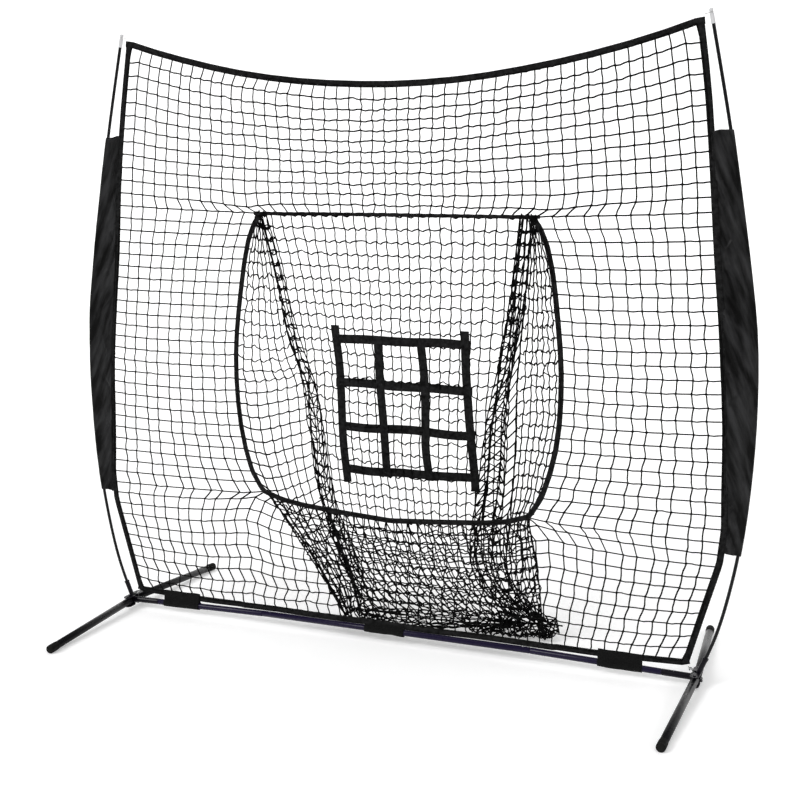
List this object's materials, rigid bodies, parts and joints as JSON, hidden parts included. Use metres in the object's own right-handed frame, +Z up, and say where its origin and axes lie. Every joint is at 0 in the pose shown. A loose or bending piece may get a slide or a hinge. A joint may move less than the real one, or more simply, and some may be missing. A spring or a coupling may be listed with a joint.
{
  "type": "pitching target net",
  "caption": "Bow-framed square sports net with a webbing-bound mouth, a catch pocket, a strike-zone grid of straps and a folding base with four splayed legs.",
  "frame": {"origin": "on the floor under the middle of the net", "axes": "+X along the base bar to the viewer's right when facing the mouth, +Y from the pitcher through the net into the pocket, +Z up"},
  "size_m": [2.455, 1.0801, 2.1349],
  "materials": {
    "gloss_tube": "gloss black powder coat with a violet tint",
    "leg_tube": "semi-gloss charcoal powder coat",
    "fibreglass": "smooth black fibreglass rod",
    "black_steel": "black coated steel",
    "bright_steel": "bright zinc plated",
    "rubber": "matt moulded rubber",
    "pale_plastic": "satin off-white",
    "pale_cord": "braided elastic",
    "netting": "knotted black polyester twine",
    "webbing": "woven black polypropylene webbing",
    "hook_and_loop": "black hook-and-loop tape",
    "sleeve_cloth": "black coated nylon cloth"
  },
  "bodies": {
    "frame": {"bar_strap_centre": "hook_and_loop", "bar_strap_left": "hook_and_loop", "bar_strap_right": "hook_and_loop", "base_tube_centre": "gloss_tube", "base_tube_left": "gloss_tube", "base_tube_right": "gloss_tube", "corner_bracket_left": "black_steel", "corner_bracket_right": "black_steel", "corner_loop_bottom_left": "pale_cord", "corner_loop_bottom_right": "pale_cord", "corner_loop_top_left": "pale_cord", "corner_loop_top_right": "pale_cord", "hem_bottom": "webbing", "hem_left": "webbing", "hem_right": "webbing", "hem_top": "webbing", "leg_rivet_left_front": "black_steel", "leg_rivet_left_rear": "black_steel", "leg_rivet_right_front": "black_steel", "leg_rivet_right_rear": "black_steel", "main_net": "netting", "mouth_binding_rim": "webbing", "mouth_binding_top": "webbing", "net_hook_left": "bright_steel", "net_hook_right": "bright_steel", "pocket_back": "netting", "pocket_floor": "netting", "pocket_front": "netting", "pocket_gusset_left": "netting", "pocket_gusset_right": "netting", "pole_ferrule_left": "black_steel", "pole_ferrule_right": "black_steel", "pole_lower_left": "fibreglass", "pole_lower_right": "fibreglass", "pole_sleeve_left": "sleeve_cloth", "pole_sleeve_right": "sleeve_cloth", "pole_tip_left": "pale_plastic", "pole_tip_right": "pale_plastic", "pole_upper_left": "fibreglass", "pole_upper_right": "fibreglass", "strike_column_1": "webbing", "strike_column_2": "webbing", "strike_column_3": "webbing", "strike_column_4": "webbing", "strike_row_1": "webbing", "strike_row_2": "webbing", "strike_row_3": "webbing", "strike_row_4": "webbing"},
    "leg_left_front": {"leg_left_front": "leg_tube", "end_cap_left_front": "rubber"},
    "leg_left_rear": {"leg_left_rear": "leg_tube", "end_cap_left_rear": "rubber"},
    "snap_button_left_inner": {"snap_button_left_inner": "bright_steel"},
    "snap_button_left_outer": {"snap_button_left_outer": "bright_steel"},
    "leg_right_front": {"leg_right_front": "leg_tube", "end_cap_right_front": "rubber"},
    "leg_right_rear": {"leg_right_rear": "leg_tube", "end_cap_right_rear": "rubber"},
    "snap_button_right_inner": {"snap_button_right_inner": "bright_steel"},
    "snap_button_right_outer": {"snap_button_right_outer": "bright_steel"}
  },
  "joints": [
    {"name": "leg_left_front_fold", "type": "hinge", "parent": "frame", "child": "leg_left_front", "pos_m": [-1.072, -0.038, 0.033], "axis": [0, 0, 1], "range_deg": [0, 88.9]},
    {"name": "leg_left_rear_fold", "type": "hinge", "parent": "frame", "child": "leg_left_rear", "pos_m": [-1.072, 0.038, 0.033], "axis": [0, 0, -1], "range_deg": [0, 85.4]},
    {"name": "snap_button_left_inner_press", "type": "slide", "parent": "frame", "child": "snap_button_left_inner", "axis": [0, 0, -1], "range_m": [0, 0.003], "stiffness_N_per_m": 1200, "springref_m": -0.002},
    {"name": "snap_button_left_outer_press", "type": "slide", "parent": "frame", "child": "snap_button_left_outer", "axis": [0, 0, -1], "range_m": [0, 0.003], "stiffness_N_per_m": 1200, "springref_m": -0.002},
    {"name": "leg_right_front_fold", "type": "hinge", "parent": "frame", "child": "leg_right_front", "pos_m": [1.072, -0.038, 0.033], "axis": [0, 0, -1], "range_deg": [0, 88.9]},
    {"name": "leg_right_rear_fold", "type": "hinge", "parent": "frame", "child": "leg_right_rear", "pos_m": [1.072, 0.038, 0.033], "axis": [0, 0, 1], "range_deg": [0, 85.4]},
    {"name": "snap_button_right_inner_press", "type": "slide", "parent": "frame", "child": "snap_button_right_inner", "axis": [0, 0, -1], "range_m": [0, 0.003], "stiffness_N_per_m": 1200, "springref_m": -0.002},
    {"name": "snap_button_right_outer_press", "type": "slide", "parent": "frame", "child": "snap_button_right_outer", "axis": [0, 0, -1], "range_m": [0, 0.003], "stiffness_N_per_m": 1200, "springref_m": -0.002}
  ]
}
